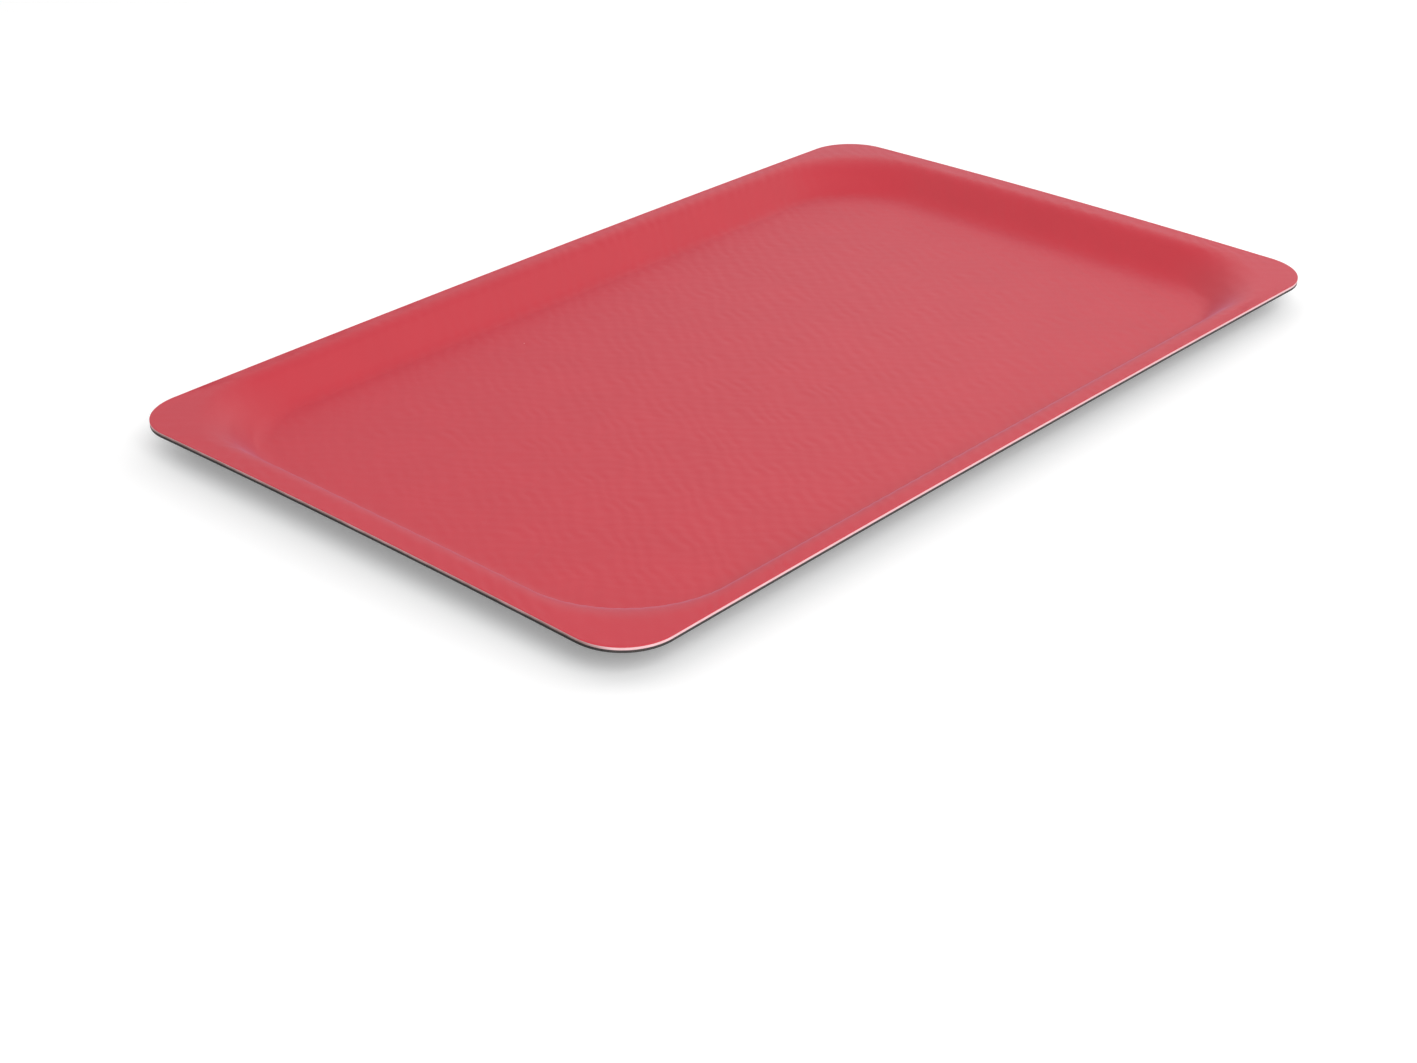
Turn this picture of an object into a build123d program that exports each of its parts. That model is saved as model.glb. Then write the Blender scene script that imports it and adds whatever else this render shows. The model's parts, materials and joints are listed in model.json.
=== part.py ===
"""Laminated anti-slip tray, built sheet by sheet.

A book of thin sheets is pressed into a shallow tray with a flat rim, a sloping wall and a flat floor,
and its outline is then sawn square to the rim. Each sheet is one solid that follows the press form,
so neighbouring sheets meet face to face all over.

Millimetres, +X along the length, +Y along the width, +Z up. The origin is under the middle of the
tray, on the surface that it stands on.
"""

import os
from math import asin, atan2, cos, hypot, pi, sin, sqrt, tan

from build123d import *

# Outline, seen from above
LENGTH = 530.0
WIDTH = 325.0
OUTLINE_RADIUS = 27.0

# The sheets from the top down, each with its thickness
SHEETS = (
    [("anti_slip_coat", 0.28), ("colour_sheet", 0.17)]
    + [(f"core_sheet_{number}", 0.23) for number in range(1, 6)]
    + [(f"base_sheet_{number}", 0.26) for number in range(1, 5)]
    + [("backing_sheet", 0.26)]
)
THICKNESS = sum(thickness for _, thickness in SHEETS)

# Depth of the well's floor below the rim, top surface to top surface
WELL_DEPTH = 16.0
RIM_TOP = WELL_DEPTH + THICKNESS

# The form's cross-section: a flat rim, a round crest, a straight wall and a round floor edge.
# It differs between the long sides, the short sides and the diagonal of a corner. "rim" and
# "floor" are where the crest starts and the flat floor starts, measured in from the outline.
LONG_SIDE = {"rim": 5.0, "floor": 30.0, "crest_radius": 12.0, "floor_radius": 11.0}
SHORT_SIDE = {"rim": 8.4, "floor": 35.0, "crest_radius": 13.0, "floor_radius": 14.0}
CORNER = {"rim": 20.0, "floor": 54.5, "crest_radius": 30.0, "floor_radius": 13.0}

# The form is lofted through this many level sections, closer together at the crest and the floor
SECTIONS = 13

# The first section takes its size from this little below the rim's plane, and the last one from
# as little above the floor's plane, so the loft leaves both planes at a faint angle
TAKE_OFF = 0.03

# The tool that clears the air above a form reaches this far past the outline and above the rim
TOOL_MARGIN = 20.0
TOOL_HEIGHT = 30.0


def wall_slope(profile):
    """Angle of the straight wall, which touches the crest's arc and the floor edge's arc."""
    radii = profile["crest_radius"] + profile["floor_radius"]
    run = profile["floor"] - profile["rim"]
    rise = WELL_DEPTH - radii
    return atan2(rise, run) + asin(radii / hypot(run, rise))


def inset_at(profile, depth, offset):
    """Inset of a cross-section at a depth under the rim, once offset into the sheets."""
    slope = wall_slope(profile)
    crest_radius = profile["crest_radius"] - offset
    floor_radius = profile["floor_radius"] + offset
    over_crest_centre = profile["crest_radius"] - depth
    under_floor_centre = depth - (WELL_DEPTH - profile["floor_radius"])
    if over_crest_centre >= crest_radius * cos(slope):
        return profile["rim"] + sqrt(crest_radius**2 - over_crest_centre**2)
    if under_floor_centre >= floor_radius * cos(slope):
        return profile["floor"] - sqrt(floor_radius**2 - under_floor_centre**2)
    wall_top_depth = profile["crest_radius"] - crest_radius * cos(slope)
    wall_top_inset = profile["rim"] + crest_radius * sin(slope)
    return wall_top_inset + (depth - wall_top_depth) / tan(slope)


def section_size(depth, offset):
    """Length, width and corner radius of the form's level section at a depth under the rim."""
    long_inset = inset_at(LONG_SIDE, depth, offset)
    short_inset = inset_at(SHORT_SIDE, depth, offset)
    # Both arcs' middles lie on the diagonal, each as far in from its own sharp corner as this
    # share of its radius, along X and along Y
    middle = 1 - cos(pi / 4)
    diagonal_inset = inset_at(CORNER, depth, offset) * cos(pi / 4) + OUTLINE_RADIUS * middle
    radius = (diagonal_inset - (long_inset + short_inset) / 2) / middle
    return LENGTH - 2 * short_inset, WIDTH - 2 * long_inset, radius


def air_above(offset):
    """All the space above the form once it is offset into the sheets: the well and over the rim."""
    rim_plane = RIM_TOP - offset
    with BuildPart() as air:
        with BuildSketch(Plane.XY.offset(rim_plane)):
            Rectangle(LENGTH + 2 * TOOL_MARGIN, WIDTH + 2 * TOOL_MARGIN)
        extrude(amount=TOOL_HEIGHT)
        for number in range(SECTIONS):
            share = (1 - cos(pi * number / (SECTIONS - 1))) / 2
            section_depth = share * WELL_DEPTH
            size_depth = min(max(section_depth, TAKE_OFF), WELL_DEPTH - TAKE_OFF)
            length, width, radius = section_size(size_depth + offset, offset)
            with BuildSketch(Plane.XY.offset(rim_plane - section_depth)):
                RectangleRounded(length, width, radius)
        loft()
    return air.part


os.makedirs("parts", exist_ok=True)

top_offset = 0.0
air_over_sheet = air_above(top_offset)
for name, thickness in SHEETS:
    bottom_offset = top_offset + thickness
    air_under_sheet = air_above(bottom_offset)
    with BuildPart() as sheet:
        with BuildSketch():
            RectangleRounded(LENGTH, WIDTH, OUTLINE_RADIUS)
        extrude(amount=RIM_TOP)
        add(air_under_sheet, mode=Mode.INTERSECT)
        add(air_over_sheet, mode=Mode.SUBTRACT)
    sheet.part.label = name
    export_step(sheet.part, f"parts/{name}.step")
    top_offset = bottom_offset
    air_over_sheet = air_under_sheet
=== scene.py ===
"""Looks of the laminated anti-slip tray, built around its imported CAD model.

Every sheet of the laminate is rebuilt here as a finer closed mesh that follows the same press form,
with the fine relief of the anti-slip film, eased arrises and a sawn edge that isn't quite even.
All lengths are in metres, in the frame of the CAD model.
"""

import json
from math import asin, atan2, cos, hypot, pi, radians, sin, sqrt, tan

import bpy
import numpy as np
from mathutils import Matrix, Vector
from mathutils.geometry import delaunay_2d_cdt


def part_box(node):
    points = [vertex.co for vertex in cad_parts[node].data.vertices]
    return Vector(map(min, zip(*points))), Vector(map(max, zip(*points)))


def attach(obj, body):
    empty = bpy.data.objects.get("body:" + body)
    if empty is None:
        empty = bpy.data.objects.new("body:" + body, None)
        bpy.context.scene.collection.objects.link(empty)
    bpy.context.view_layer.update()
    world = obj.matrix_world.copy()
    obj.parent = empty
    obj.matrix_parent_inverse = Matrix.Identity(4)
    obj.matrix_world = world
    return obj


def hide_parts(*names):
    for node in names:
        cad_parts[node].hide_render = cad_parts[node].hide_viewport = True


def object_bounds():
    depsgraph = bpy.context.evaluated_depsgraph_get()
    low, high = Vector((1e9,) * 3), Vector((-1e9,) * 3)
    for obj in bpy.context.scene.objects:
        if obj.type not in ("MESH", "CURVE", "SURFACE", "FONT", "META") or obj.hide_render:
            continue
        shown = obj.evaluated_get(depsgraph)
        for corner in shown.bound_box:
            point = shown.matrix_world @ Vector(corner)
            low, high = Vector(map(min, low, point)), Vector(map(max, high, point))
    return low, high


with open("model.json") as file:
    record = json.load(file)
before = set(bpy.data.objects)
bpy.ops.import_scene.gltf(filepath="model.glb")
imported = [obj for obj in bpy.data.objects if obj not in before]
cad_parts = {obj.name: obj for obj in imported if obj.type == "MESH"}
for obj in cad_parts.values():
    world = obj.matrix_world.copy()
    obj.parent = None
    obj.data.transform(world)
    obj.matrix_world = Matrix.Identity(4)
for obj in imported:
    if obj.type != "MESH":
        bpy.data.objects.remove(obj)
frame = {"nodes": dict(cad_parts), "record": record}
cad_low, cad_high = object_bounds()

MM = 0.001

# The press form, as the CAD model has it
LENGTH = cad_high.x - cad_low.x
WIDTH = cad_high.y - cad_low.y
RIM_TOP = cad_high.z
WELL_DEPTH = 16 * MM
THICKNESS = RIM_TOP - WELL_DEPTH
OUTLINE_RADIUS = 27 * MM
LONG_SIDE = {"rim": 5 * MM, "floor": 30 * MM, "crest_radius": 12 * MM, "floor_radius": 11 * MM}
SHORT_SIDE = {"rim": 8.4 * MM, "floor": 35 * MM, "crest_radius": 13 * MM, "floor_radius": 14 * MM}
CORNER = {"rim": 20 * MM, "floor": 54.5 * MM, "crest_radius": 30 * MM, "floor_radius": 13 * MM}

# How far the rim hangs lower at the corners than at the middles of the sides
CORNER_HANG = 1.76 * MM

# The film's relief: soft ridges that run slantwise and waver, crossed by fainter ones. Each family
# is given by its ridges to the metre along X and Y, by its share of the depth and by its seed.
RELIEF_DEPTH = 0.24 * MM
RIDGES = {"main": (-119, 83, 0.85, 3), "crossing": (120, 94, 0.20, 4)}

# How the ridges waver: by this share of their spacing, and by a strength with this middle and
# spread, both from this many random waves between these lengths
WAVER_TURNS = 0.22
RIDGE_STRENGTH = 0.85
STRENGTH_SPREAD = 0.15
STRENGTH_SEED_STEP = 10
WAVER_LENGTHS = (15 * MM, 45 * MM)
WAVER_WAVES = 14

# The sawn edge: how far its two arrises are eased, and how uneven it is. The noise is smoothed over
# a span of points along the outline.
EASED = 0.15 * MM
EASED_STEPS = 4
SAW_SEED = 7
SAW_SPAN = 3
FIRST_LAYER_SEED = 20
LAYER_SPAN = 2
SAW_WAVES = 0.02 * MM
LAYER_WAVES = {
    "anti_slip_film": 0.01 * MM,
    "decor_paper": 0.01 * MM,
    "core_paper": 0.03 * MM,
    "kraft_paper": 0.035 * MM,
    "backing": 0.015 * MM,
}

# Points along the mesh: around a corner, along a long and a short side, across the rim and down the form
FINE = {"corner": 40, "long": 252, "short": 126, "rim": 9, "form": 22}
PLAIN = {"corner": 28, "long": 126, "short": 64, "rim": 3, "form": 12}
FLOOR_MESH_PITCH = 1.65 * MM
UNDERSIDE_MESH_PITCH = 6 * MM

# Points of a floor's grid keep this share of the pitch from the ring around it
GRID_CLEARANCE = 0.6
TOUCHING = 1e-7

# Edges that bend more than this are shown sharp
SHARP_BEND = radians(35)

# The camera stands off the tray's near corner
CAMERA_PLACE = (-0.7979, -0.6923, 0.4846)
CAMERA_YAW = 42.374
CAMERA_PITCH = -28.648
CAMERA_ROLL = -0.173
IMAGE_WIDTH = 1417
FOCAL_PIXELS = 2299.1
SENSOR_WIDTH = 36.0

# Soft lights: where each stands as azimuth from +X and elevation, its distance, size and power
LIGHTS = {
    "key_box": {"azimuth": -120, "elevation": 40, "distance": 2.4, "size": (1.6, 1.2), "power": 24.8},
    "right_box": {"azimuth": -35, "elevation": 38, "distance": 1.3, "size": (0.9, 0.7), "power": 2.0},
    "rear_box": {"azimuth": 20, "elevation": 28, "distance": 2.4, "size": (1.8, 0.8), "power": 3.4},
    "left_box": {"azimuth": 110, "elevation": 40, "distance": 2.4, "size": (1.6, 1.2), "power": 2.8},
    "back_box": {"azimuth": 45, "elevation": 29, "distance": 2.6, "size": (2.6, 0.8), "power": 1.95},
}
WORLD_STRENGTH = 0.635


def make_camera():
    yaw, pitch, roll = radians(CAMERA_YAW), radians(CAMERA_PITCH), radians(CAMERA_ROLL)
    ahead = Vector((cos(yaw) * cos(pitch), sin(yaw) * cos(pitch), sin(pitch)))
    right = ahead.cross(Vector((0, 0, 1))).normalized()
    up = right.cross(ahead)
    turned_right = right * cos(roll) + up * sin(roll)
    turned_up = up * cos(roll) - right * sin(roll)
    data = bpy.data.cameras.new("camera")
    data.sensor_width = SENSOR_WIDTH
    data.lens = FOCAL_PIXELS / IMAGE_WIDTH * SENSOR_WIDTH
    camera = bpy.data.objects.new("camera", data)
    bpy.context.scene.collection.objects.link(camera)
    turn = Matrix((turned_right, turned_up, -ahead)).transposed().to_4x4()
    camera.matrix_world = Matrix.Translation(CAMERA_PLACE) @ turn
    bpy.context.scene.camera = camera


def make_lights():
    for name, spec in LIGHTS.items():
        azimuth, elevation = radians(spec["azimuth"]), radians(spec["elevation"])
        away = Vector((cos(azimuth) * cos(elevation), sin(azimuth) * cos(elevation), sin(elevation)))
        data = bpy.data.lights.new(name, "AREA")
        data.shape = "RECTANGLE"
        data.size, data.size_y = spec["size"]
        data.energy = spec["power"]
        light = bpy.data.objects.new(name, data)
        bpy.context.scene.collection.objects.link(light)
        light.location = away * spec["distance"]
        light.rotation_mode = "QUATERNION"
        light.rotation_quaternion = away.to_track_quat("Z", "Y")
    world = bpy.data.worlds.new("studio")
    world.use_nodes = True
    background = world.node_tree.nodes["Background"]
    background.inputs["Color"].default_value = (1.0, 1.0, 1.0, 1.0)
    background.inputs["Strength"].default_value = WORLD_STRENGTH
    bpy.context.scene.world = world
    bpy.context.scene.view_settings.view_transform = "Standard"


# ---- The press form ----


def wall_slope(profile):
    """Angle of the straight wall, which touches the crest's arc and the floor edge's arc."""
    radii = profile["crest_radius"] + profile["floor_radius"]
    run = profile["floor"] - profile["rim"]
    rise = WELL_DEPTH - radii
    return atan2(rise, run) + asin(radii / hypot(run, rise))


def inset_at(profile, depth, offset):
    """Inset of a cross-section at a depth under the rim, once offset into the sheets."""
    slope = wall_slope(profile)
    crest_radius = profile["crest_radius"] - offset
    floor_radius = profile["floor_radius"] + offset
    over_crest_centre = profile["crest_radius"] - depth
    under_floor_centre = depth - (WELL_DEPTH - profile["floor_radius"])
    if over_crest_centre >= crest_radius * cos(slope):
        return profile["rim"] + sqrt(max(crest_radius**2 - over_crest_centre**2, 0))
    if under_floor_centre >= floor_radius * cos(slope):
        return profile["floor"] - sqrt(max(floor_radius**2 - under_floor_centre**2, 0))
    wall_top_depth = profile["crest_radius"] - crest_radius * cos(slope)
    wall_top_inset = profile["rim"] + crest_radius * sin(slope)
    return wall_top_inset + (depth - wall_top_depth) / tan(slope)


def section_size(depth, offset):
    """Half length, half width and corner radius of the form's level section at a depth under the rim."""
    long_inset = inset_at(LONG_SIDE, depth, offset)
    short_inset = inset_at(SHORT_SIDE, depth, offset)
    middle = 1 - cos(pi / 4)
    diagonal_inset = inset_at(CORNER, depth, offset) * cos(pi / 4) + OUTLINE_RADIUS * middle
    radius = (diagonal_inset - (long_inset + short_inset) / 2) / middle
    return np.array([LENGTH / 2 - short_inset, WIDTH / 2 - long_inset, radius])


def loop_around(size, steps):
    """Points around a rounded rectangle, anticlockwise from above, with the way out at each."""
    half_length, half_width, radius = size
    points, ways_out = [], []
    for corner in range(4):
        sign_x = 1 if corner in (0, 3) else -1
        sign_y = 1 if corner in (0, 1) else -1
        centre = np.array([sign_x * (half_length - radius), sign_y * (half_width - radius)])
        angles = (corner + np.linspace(0, 1, steps["corner"] + 1)) * pi / 2
        way_out = np.stack([np.cos(angles), np.sin(angles)], 1)
        arc = centre + radius * way_out
        side = steps["long"] if corner in (0, 2) else steps["short"]
        straight = 2 * (half_length - radius) if corner in (0, 2) else 2 * (half_width - radius)
        along = np.array([-way_out[-1][1], way_out[-1][0]])
        shares = np.arange(1, side)[:, None] / side
        points += [arc, arc[-1] + shares * straight * along]
        ways_out += [way_out, np.repeat(way_out[-1:], side - 1, 0)]
    return np.concatenate(points), np.concatenate(ways_out)


def form_rings(offset, steps):
    """Rings of points over one surface of the form, from the outline to the flat floor's edge."""
    rim_plane = RIM_TOP - offset
    outline = np.array([LENGTH / 2, WIDTH / 2, OUTLINE_RADIUS])
    crest = section_size(offset, offset)
    rings = []
    for number in range(steps["rim"]):
        size = outline + (crest - outline) * number / steps["rim"]
        rings.append((size, rim_plane))
    for number in range(steps["form"] + 1):
        share = (1 - cos(pi * number / steps["form"])) / 2
        depth = share * WELL_DEPTH
        rings.append((section_size(depth + offset, offset), rim_plane - depth))
    return rings


def level_points(places, height):
    """Places seen from above, all put at one height."""
    return np.column_stack([places, np.full(len(places), height)])


def ring_points(rings, steps):
    """The rings as one array: ring, point around, and x, y, z."""
    made = []
    for size, height in rings:
        places, _ = loop_around(size, steps)
        made.append(level_points(places, height))
    return np.array(made)


def wavering(points, seed):
    """Smooth random field over the tray: plane waves in random directions, with a spread of about 1."""
    random = np.random.default_rng(seed)
    field = np.zeros(len(points))
    for _ in range(WAVER_WAVES):
        heading, start = random.uniform(0, 2 * pi, 2)
        length = random.uniform(*WAVER_LENGTHS)
        along = points[:, 0] * cos(heading) + points[:, 1] * sin(heading)
        field += np.sin(2 * pi * along / length + start)
    return field * sqrt(2 / WAVER_WAVES)


def relief(points):
    """How far the film's surface lies below its top plane."""
    height = np.zeros(len(points))
    for per_x, per_y, share, seed in RIDGES.values():
        turns = points[:, 0] * per_x + points[:, 1] * per_y + WAVER_TURNS * wavering(points, seed)
        unevenness = STRENGTH_SPREAD * wavering(points, seed + STRENGTH_SEED_STEP)
        strength = np.clip(RIDGE_STRENGTH + unevenness, 0, 1)
        height += share * strength * np.cos(2 * pi * turns)
    return RELIEF_DEPTH * (1 - height) / 2


def hang(points, rim_plane):
    """How far points sink as the rim's corners hang; the flat floor stays flat."""
    above_floor = np.clip((points[..., 2] - rim_plane) / WELL_DEPTH + 1, 0, 1)
    off_middle = (points[..., 0] / (LENGTH / 2)) ** 2 * (points[..., 1] / (WIDTH / 2)) ** 2
    return CORNER_HANG * off_middle * above_floor


def smooth_noise(count, seed, span):
    """Closed loop of smooth random numbers between about -1 and 1."""
    raw = np.random.default_rng(seed).standard_normal(count)
    window = np.hanning(span + 2)
    padded = np.concatenate([raw[-span:], raw, raw[:span]])
    smooth = np.convolve(padded, window, "same")[span:-span]
    return smooth / np.abs(smooth).max()


def filled_floor(ring, pitch):
    """Triangles over the flat floor inside a ring: points to add, and faces over ring + added."""
    half_length, half_width = np.abs(ring[:, 0]).max(), np.abs(ring[:, 1]).max()
    row_pitch = pitch * sin(pi / 3)
    rows = int(half_width / row_pitch)
    columns = int(half_length / pitch) + 1
    grid = [
        ((column + (row % 2) / 2) * pitch, row * row_pitch)
        for row in range(-rows, rows + 1)
        for column in range(-columns, columns + 1)
    ]
    grid = np.array(grid)
    on_long_side = np.abs(ring[:, 1]) >= half_width - TOUCHING
    radius = half_length - np.abs(ring[on_long_side, 0]).max()
    beyond = np.maximum(np.abs(grid) - [half_length - radius, half_width - radius], 0)
    inside = radius - np.hypot(beyond[:, 0], beyond[:, 1])
    inside = np.where(beyond.any(1), inside, radius)
    added = grid[inside > pitch * GRID_CLEARANCE]
    flat = [Vector(place) for place in np.concatenate([ring[:, :2], added])]
    loop = [list(range(len(ring)))]
    _, _, faces, originals, _, _ = delaunay_2d_cdt(flat, [], loop, 1, 1e-9)
    order = [original[0] for original in originals]
    return added, [[order[corner] for corner in face] for face in faces]


def renumbered(triangles, ring_start, count, added_start):
    """Triangles over a ring and its added points, counted in the sheet's own list of points."""
    return [
        [ring_start + corner if corner < count else added_start + corner - count for corner in triangle]
        for triangle in triangles
    ]


def sawn_shift(node, slot, way_out):
    """How far the saw strays at each point of the outline: waves of all sheets and of this one."""
    count = len(way_out)
    waves = SAW_WAVES * smooth_noise(count, SAW_SEED, SAW_SPAN)
    seed = sorted(frame["nodes"]).index(node) + FIRST_LAYER_SEED
    waves += LAYER_WAVES[slot] * smooth_noise(count, seed, LAYER_SPAN)
    return (waves - SAW_WAVES - LAYER_WAVES[slot])[:, None] * way_out


def eased_arris(sawn, way_out, face_height, direction):
    """Rings round an eased arris, from the face at that height down (-1) or up (1) to the sawn edge."""
    rings = []
    for number in range(1, EASED_STEPS + 1):
        angle = pi / 2 * number / EASED_STEPS
        inset, away = EASED * (1 - sin(angle)), EASED * (1 - cos(angle))
        rings.append(level_points(sawn - inset * way_out, face_height + direction * away))
    return rings


def stitched(rings, count):
    """Faces between each ring and the next one."""
    faces = []
    for ring in range(rings - 1):
        for number in range(count):
            here, ahead = ring * count + number, ring * count + (number + 1) % count
            faces.append([here, here + count, ahead + count, ahead])
    return faces


def sheet_object(node, points, faces):
    """The sheet as an object that takes its CAD node's place; only its flat n-gons are shaded flat."""
    mesh = bpy.data.meshes.new(f"{node}_detail")
    mesh.from_pydata(points.tolist(), [], faces)
    mesh.validate()
    mesh.update()
    mesh.polygons.foreach_set("use_smooth", [len(face) < 5 for face in faces])
    mesh.set_sharp_from_angle(angle=SHARP_BEND)
    sheet = bpy.data.objects.new(f"{node}_detail", mesh)
    bpy.context.scene.collection.objects.link(sheet)
    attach(sheet, "root")
    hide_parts(node)
    return sheet


def make_sheet(node, slot):
    """One sheet of the laminate as a closed mesh between two surfaces of the form."""
    low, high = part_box(node)
    top_offset = RIM_TOP - high.z
    bottom_offset = THICKNESS - low.z
    rim_bottom = RIM_TOP - bottom_offset
    is_film = slot == "anti_slip_film"
    is_backing = slot == "backing"
    steps = FINE if is_film else PLAIN
    under_steps = dict(steps, rim=PLAIN["rim"], form=PLAIN["form"])
    top = ring_points(form_rings(top_offset, steps), steps)
    bottom = ring_points(form_rings(bottom_offset, under_steps), steps)
    outline, way_out = loop_around((LENGTH / 2, WIDTH / 2, OUTLINE_RADIUS), steps)
    count = len(outline)

    shift = sawn_shift(node, slot, way_out)
    for surface in (top, bottom):
        surface[0, :, :2] += shift

    # An eased arris runs round the top of the film and round the bottom of the backing
    side_rings = []
    if is_film:
        top[0, :, :2] -= EASED * way_out
        side_rings = eased_arris(outline + shift, way_out, high.z, -1)
    if is_backing:
        bottom[0, :, :2] -= EASED * way_out
        side_rings = eased_arris(outline + shift, way_out, rim_bottom, 1)[::-1]

    if is_film:
        flat = top.reshape(-1, 3)
        flat[:, 2] -= relief(flat)
        # the first ring keeps its height, so the arris starts level
        top[0, :, 2] = high.z

    top[..., 2] -= hang(top, high.z)
    bottom[..., 2] -= hang(bottom, rim_bottom)
    for ring in side_rings:
        ring[:, 2] -= hang(ring, ring[:, 2])

    # Points: the top rings from the floor out, down the edge, and the bottom rings from the outline in
    stacked = list(top[::-1]) + side_rings + list(bottom)
    points = np.concatenate(stacked)
    faces = stitched(len(stacked), count)

    # The film's floor and the underside show, so they are filled with an even mesh
    if is_film:
        added, triangles = filled_floor(top[-1], FLOOR_MESH_PITCH)
        faces += renumbered(triangles, 0, count, len(points))
        extra = level_points(added, RIM_TOP - top_offset - WELL_DEPTH)
        extra[:, 2] -= relief(extra)
        points = np.concatenate([points, extra])
    else:
        faces.append(list(range(count)))
    last = (len(stacked) - 1) * count
    if is_backing:
        added, triangles = filled_floor(bottom[-1], UNDERSIDE_MESH_PITCH)
        faces += [face[::-1] for face in renumbered(triangles, last, count, len(points))]
        extra = level_points(added, rim_bottom - WELL_DEPTH)
        points = np.concatenate([points, extra])
    else:
        faces.append([last + number for number in reversed(range(count))])
    return sheet_object(node, points, faces)


# ---- Materials ----

# Rare pale specks on the film: the share of each speck that is solid, the range of random numbers
# where cells start to have one, and how much they show
SPECK_SPACING = 20 * MM
SPECK_RADIUS = 0.5 * MM
SPECK_CORE = 0.6
SPECK_CHOICE = (0.93, 0.94)
SPECK_STRENGTH = 0.6

FILM_MOTTLE = 35 * MM
FILM_GRAIN = 0.6 * MM
FILM_PEBBLES = 0.9 * MM
FILM_PEBBLE_DEPTH = 0.03 * MM
FILM_GRAIN_DEPTH = 0.02 * MM
FILM_ROUGHNESS = (0.45, 0.53)
FILM_SHADER = {
    "Specular IOR Level": 0.51,
    "Sheen Weight": 0.265,
    "Sheen Roughness": 0.3,
    "Sheen Tint": (0.727, 0.671, 1.0, 1.0),
}

DECOR_FIBRES = 0.8 * MM
DECOR_FIBRE_DEPTH = 0.03 * MM
DECOR_ROUGHNESS = (0.5, 0.7)

# The sawn papers: fibres that lie along the sheet, upright saw marks, and blotches
PAPER_FIBRES = 1.6 * MM
SAW_MARKS = 0.5 * MM
PAPER_BLOTCHES = 6 * MM
# Patches over which the painted shade at the tray's ends varies
END_SHADE_PATCHES = 12 * MM
PAPER_MARK_DEPTH = 0.04 * MM
PAPER_SPECULAR = 0.25
CORE_ROUGHNESS = (0.7, 0.9)
KRAFT_ROUGHNESS = (0.55, 0.8)

BACKING_WEAR = 20 * MM
BACKING_MOTTLE = 3 * MM
BACKING_PEBBLES = 1.2 * MM
BACKING_PEBBLE_DEPTH = 0.04 * MM
BACKING_GRAIN = 0.4 * MM
BACKING_GRAIN_DEPTH = 0.01 * MM
BACKING_ROUGHNESS = (0.42, 0.58)

STUDIO_FLOOR_REACH = 12.0
STUDIO_FLOOR_PATCHES = 0.8
STUDIO_FLOOR_PALER = 1.01
STUDIO_FLOOR_ROUGHNESS = 0.9
STUDIO_FLOOR_SPECULAR = 0.1


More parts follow.
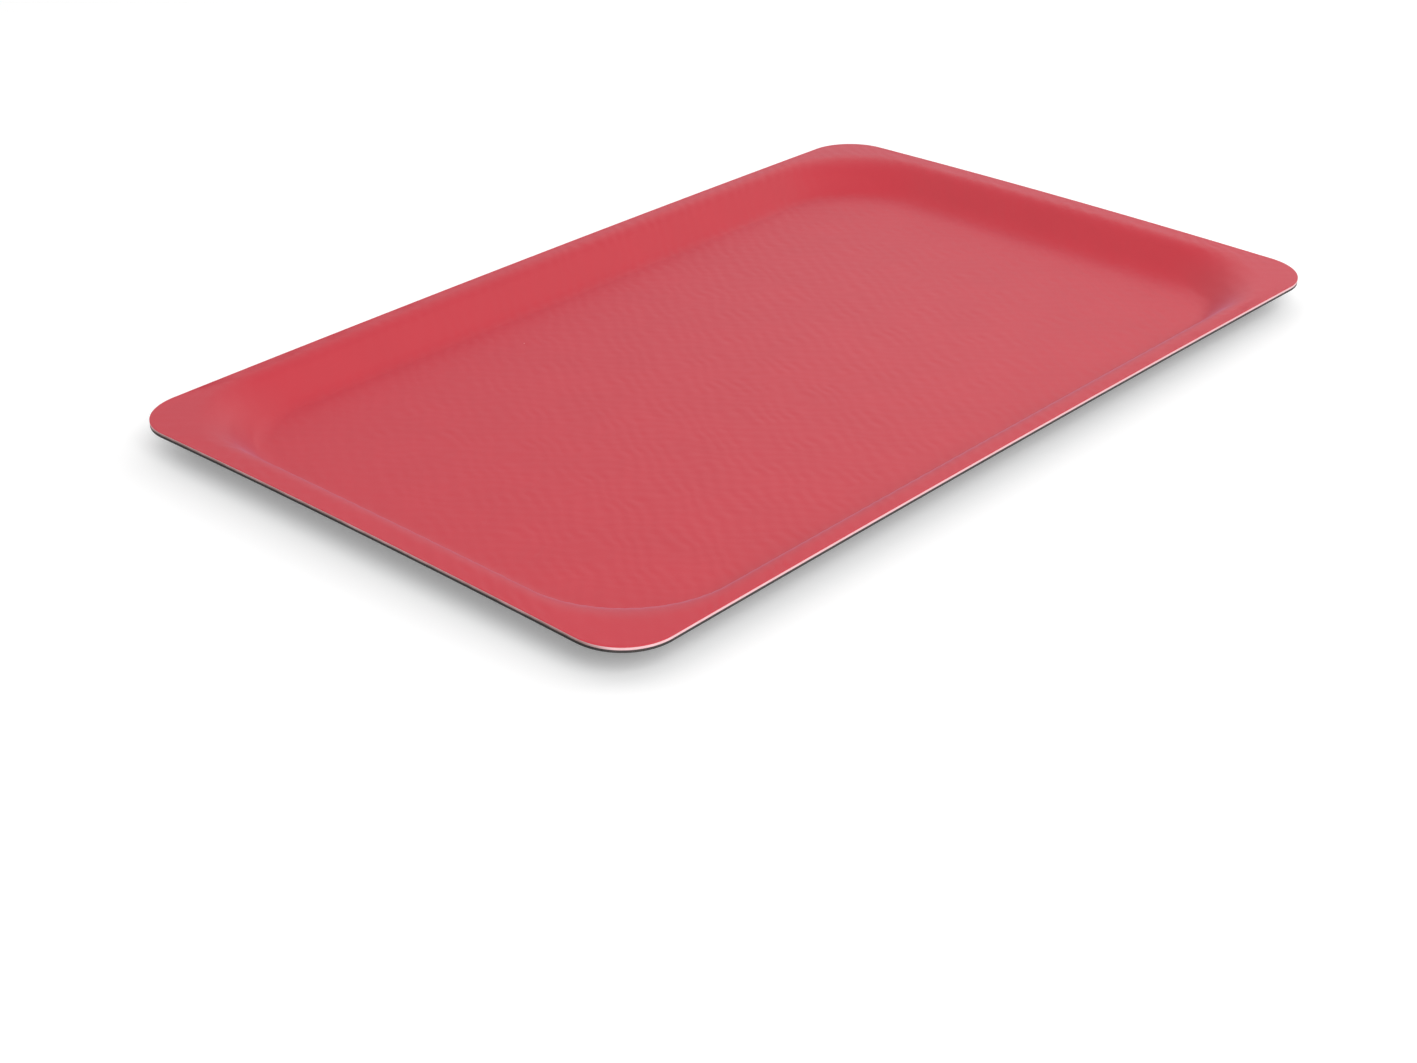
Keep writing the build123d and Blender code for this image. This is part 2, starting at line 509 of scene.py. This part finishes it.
class Recipe:
    """A node material being put together."""

    def __init__(self, name):
        self.material = bpy.data.materials.new(name)
        self.material.use_nodes = True
        self.tree = self.material.node_tree
        self.shader = self.tree.nodes["Principled BSDF"]
        self.place = self.node("ShaderNodeTexCoord").outputs["Object"]

    def node(self, kind, **settings):
        made = self.tree.nodes.new(kind)
        for key, value in settings.items():
            setattr(made, key, value)
        return made

    def link(self, source, target):
        self.tree.links.new(source, target)

    def stretched(self, scale):
        """The place with each axis scaled, so features get shorter along an axis with a large scale."""
        mapping = self.node("ShaderNodeMapping")
        mapping.inputs["Scale"].default_value = scale
        self.link(self.place, mapping.inputs["Vector"])
        return mapping.outputs["Vector"]

    def noise(self, size, detail=2.0, roughness=0.5, stretch=None):
        """Noise whose features are about size metres across, from 0 to 1."""
        made = self.node("ShaderNodeTexNoise")
        made.inputs["Scale"].default_value = 1 / size
        made.inputs["Detail"].default_value = detail
        made.inputs["Roughness"].default_value = roughness
        self.link(self.stretched(stretch) if stretch else self.place, made.inputs["Vector"])
        return made.outputs["Fac"]

    def pebbles(self, size):
        """Soft cells about size metres across, for a pebbled surface."""
        made = self.node("ShaderNodeTexVoronoi", feature="SMOOTH_F1")
        made.inputs["Scale"].default_value = 1 / size
        self.link(self.place, made.inputs["Vector"])
        return made.outputs["Distance"]

    def rare_specks(self, spacing, radius):
        """Small spots, about one in each cell of that spacing and only in a few of the cells."""
        made = self.node("ShaderNodeTexVoronoi")
        made.inputs["Scale"].default_value = 1 / spacing
        self.link(self.place, made.inputs["Vector"])
        channels = self.node("ShaderNodeSeparateColor")
        self.link(made.outputs["Color"], channels.inputs["Color"])
        reach = radius / spacing
        spot = self.remap(made.outputs["Distance"], reach * SPECK_CORE, reach, 1.0, 0.0)
        least, most = SPECK_CHOICE
        chosen = self.remap(channels.outputs["Red"], least, most, 0.0, SPECK_STRENGTH)
        return self.math("MULTIPLY", spot, chosen)

    def remap(self, source, low, high, to_low, to_high):
        """The source moved from one range to another and held inside it."""
        made = self.node("ShaderNodeMapRange")
        for name, value in (("From Min", low), ("From Max", high), ("To Min", to_low), ("To Max", to_high)):
            made.inputs[name].default_value = value
        self.link(source, made.inputs["Value"])
        return made.outputs["Result"]

    def blend(self, factor, first, second):
        """A colour between two, each a colour or a socket."""
        made = self.node("ShaderNodeMix", data_type="RGBA")
        self.link(factor, made.inputs["Factor"])
        for name, value in (("A", first), ("B", second)):
            socket = next(s for s in made.inputs if s.name == name and s.type == "RGBA")
            if isinstance(value, tuple):
                socket.default_value = (*value, 1.0)
            else:
                self.link(value, socket)
        return next(s for s in made.outputs if s.type == "RGBA")

    def math(self, operation, first, second):
        made = self.node("ShaderNodeMath", operation=operation)
        for socket, value in zip(made.inputs, (first, second)):
            if isinstance(value, (int, float)):
                socket.default_value = value
            else:
                self.link(value, socket)
        return made.outputs["Value"]

    def bump(self, height, depth, strength=1.0, under=None):
        """A bumpy normal, on top of the one under it if there is one."""
        made = self.node("ShaderNodeBump")
        made.inputs["Distance"].default_value = depth
        made.inputs["Strength"].default_value = strength
        self.link(height, made.inputs["Height"])
        if under:
            self.link(under, made.inputs["Normal"])
        return made.outputs["Normal"]


FILM_RED = (0.590, 0.0283, 0.0479)
FILM_RED_DEEP = (0.553, 0.0262, 0.0441)
FILM_SPECK = (0.80, 0.42, 0.45)
DECOR_RED = (0.52, 0.035, 0.050)
CORE_PALE = (0.84, 0.53, 0.56)
CORE_SHADED = (0.70, 0.44, 0.44)
# Painted shade on the core's cut at the tray's two ends
CORE_END_SHADE = (0.18, 0.11, 0.10)
KRAFT_DARK = (0.044, 0.038, 0.038)
KRAFT_BROWN = (0.090, 0.070, 0.062)
# Painted shade on the kraft's cut at the tray's two ends
KRAFT_END_SHADE = (0.012, 0.010, 0.010)
BACKING_BLACK = (0.022, 0.023, 0.024)
BACKING_GREY = (0.034, 0.035, 0.036)
FLOOR_PALE = (0.90, 0.90, 0.90)
FLOOR_GLOW = 0.2

# How far in from the two ends the cut is darkened, and how much each sheet shows it: painted shade on the
# end faces, which turn from the light
END_SHADE_REACH = 5 * MM
CORE_END_SHADING = {
    "core_sheet_1": 0.55,
    "core_sheet_2": 0.72,
    "core_sheet_3": 0.88,
    "core_sheet_4": 0.95,
    "core_sheet_5": 1.0,
}
KRAFT_END_SHADING = 0.9


def film_material():
    made = Recipe("anti_slip_film")
    mottle = made.remap(made.noise(FILM_MOTTLE, 3.0), 0.3, 0.7, 0.0, 1.0)
    grain = made.remap(made.noise(FILM_GRAIN, 3.0, 0.6), 0.25, 0.75, 0.0, 1.0)
    tone = made.math("ADD", made.math("MULTIPLY", mottle, 0.5), made.math("MULTIPLY", grain, 0.5))
    red = made.blend(tone, FILM_RED_DEEP, FILM_RED)
    specks = made.rare_specks(SPECK_SPACING, SPECK_RADIUS)
    made.link(made.blend(specks, red, FILM_SPECK), made.shader.inputs["Base Color"])
    made.link(made.remap(grain, 0.0, 1.0, *FILM_ROUGHNESS), made.shader.inputs["Roughness"])
    for name, value in FILM_SHADER.items():
        made.shader.inputs[name].default_value = value
    pebbled = made.bump(made.pebbles(FILM_PEBBLES), FILM_PEBBLE_DEPTH, 0.5)
    made.link(made.bump(grain, FILM_GRAIN_DEPTH, 0.6, pebbled), made.shader.inputs["Normal"])
    return made.material


def decor_material():
    made = Recipe("decor_paper")
    fibres = made.noise(DECOR_FIBRES, 3.0, stretch=(1.0, 1.0, 6.0))
    made.link(made.blend(fibres, FILM_RED_DEEP, DECOR_RED), made.shader.inputs["Base Color"])
    made.link(made.remap(fibres, 0.3, 0.7, *DECOR_ROUGHNESS), made.shader.inputs["Roughness"])
    made.link(made.bump(fibres, DECOR_FIBRE_DEPTH), made.shader.inputs["Normal"])
    return made.material


def paper_material(name, pale, shaded, end_shade, end_shading, roughness):
    """Resin-soaked paper, seen where the saw has cut it: fibres along the sheet and faint saw marks.

    Across the tray's two ends the cut is darkened, by the share given for the sheet: painted shade on the
    end faces, which turn from the light.
    """
    made = Recipe(name)
    fibres = made.noise(PAPER_FIBRES, 4.0, 0.65, stretch=(1.0, 1.0, 12.0))
    saw = made.noise(SAW_MARKS, 2.0, stretch=(1.0, 1.0, 0.05))
    blotch = made.remap(made.noise(PAPER_BLOTCHES, 2.0), 0.35, 0.7, 0.0, 1.0)
    tone = made.math("MULTIPLY", made.math("ADD", fibres, made.math("MULTIPLY", saw, 0.4)), 0.75)
    soiled = made.math("MULTIPLY", made.remap(tone, 0.35, 0.7, 0.0, 0.8), blotch)
    colour = made.blend(soiled, pale, shaded)
    # Painted shade: darker towards the tray's two ends, in patches, where the cut faces turn from the light
    apart = made.node("ShaderNodeSeparateXYZ")
    made.link(made.place, apart.inputs["Vector"])
    from_middle = made.math("ABSOLUTE", apart.outputs["X"], 0.0)
    end = made.remap(from_middle, LENGTH / 2 - END_SHADE_REACH, LENGTH / 2, 0.0, end_shading)
    patches = made.remap(made.noise(END_SHADE_PATCHES, 3.0), 0.3, 0.6, 0.75, 1.0)
    patchy = made.math("MULTIPLY", end, patches)
    made.link(made.blend(patchy, colour, end_shade), made.shader.inputs["Base Color"])
    made.link(made.remap(fibres, 0.3, 0.7, *roughness), made.shader.inputs["Roughness"])
    made.shader.inputs["Specular IOR Level"].default_value = PAPER_SPECULAR
    marks = made.bump(saw, PAPER_MARK_DEPTH, 0.6)
    made.link(made.bump(fibres, PAPER_MARK_DEPTH, 0.6, marks), made.shader.inputs["Normal"])
    return made.material


def backing_material():
    made = Recipe("backing")
    wear = made.remap(made.noise(BACKING_WEAR, 4.0, 0.6), 0.45, 0.75, 0.0, 1.0)
    mottle = made.remap(made.noise(BACKING_MOTTLE, 4.0, 0.7), 0.35, 0.65, 0.2, 1.0)
    tone = made.math("MULTIPLY", wear, mottle)
    made.link(made.blend(tone, BACKING_BLACK, BACKING_GREY), made.shader.inputs["Base Color"])
    made.link(made.remap(tone, 0.0, 1.0, *BACKING_ROUGHNESS), made.shader.inputs["Roughness"])
    pebbled = made.bump(made.pebbles(BACKING_PEBBLES), BACKING_PEBBLE_DEPTH, 0.6)
    grainy = made.bump(made.noise(BACKING_GRAIN), BACKING_GRAIN_DEPTH, 0.5, pebbled)
    made.link(grainy, made.shader.inputs["Normal"])
    return made.material


def floor_material():
    made = Recipe("studio_floor")
    patches = made.noise(STUDIO_FLOOR_PATCHES, 2.0)
    paler = tuple(channel * STUDIO_FLOOR_PALER for channel in FLOOR_PALE)
    made.shader.inputs["Emission Color"].default_value = (1.0, 1.0, 1.0, 1.0)
    made.shader.inputs["Emission Strength"].default_value = FLOOR_GLOW
    made.link(made.blend(patches, FLOOR_PALE, paler), made.shader.inputs["Base Color"])
    made.shader.inputs["Roughness"].default_value = STUDIO_FLOOR_ROUGHNESS
    made.shader.inputs["Specular IOR Level"].default_value = STUDIO_FLOOR_SPECULAR
    return made.material


def make_floor():
    mesh = bpy.data.meshes.new("studio_floor")
    reach = STUDIO_FLOOR_REACH
    corners = [(-reach, -reach, 0), (reach, -reach, 0), (reach, reach, 0), (-reach, reach, 0)]
    mesh.from_pydata(corners, [], [(0, 1, 2, 3)])
    mesh.materials.append(floor_material())
    floor = bpy.data.objects.new("studio_floor", mesh)
    bpy.context.scene.collection.objects.link(floor)


make_camera()
make_lights()

# The paper sheets carry painted shade on their cut at the tray's two ends, each sheet by its own share
materials = {
    "anti_slip_film": film_material(),
    "decor_paper": decor_material(),
    "kraft_paper": paper_material(
        "kraft_paper", KRAFT_DARK, KRAFT_BROWN, KRAFT_END_SHADE, KRAFT_END_SHADING, KRAFT_ROUGHNESS
    ),
    "backing": backing_material(),
}
for node, end_shading in CORE_END_SHADING.items():
    materials[node] = paper_material(node, CORE_PALE, CORE_SHADED, CORE_END_SHADE, end_shading, CORE_ROUGHNESS)
for subpart in frame["record"]["subparts"]:
    node, slot = subpart["node"], subpart["material_slot"]
    piece = make_sheet(node, slot)
    piece.data.materials.append(materials[node if slot == "core_paper" else slot])
make_floor()
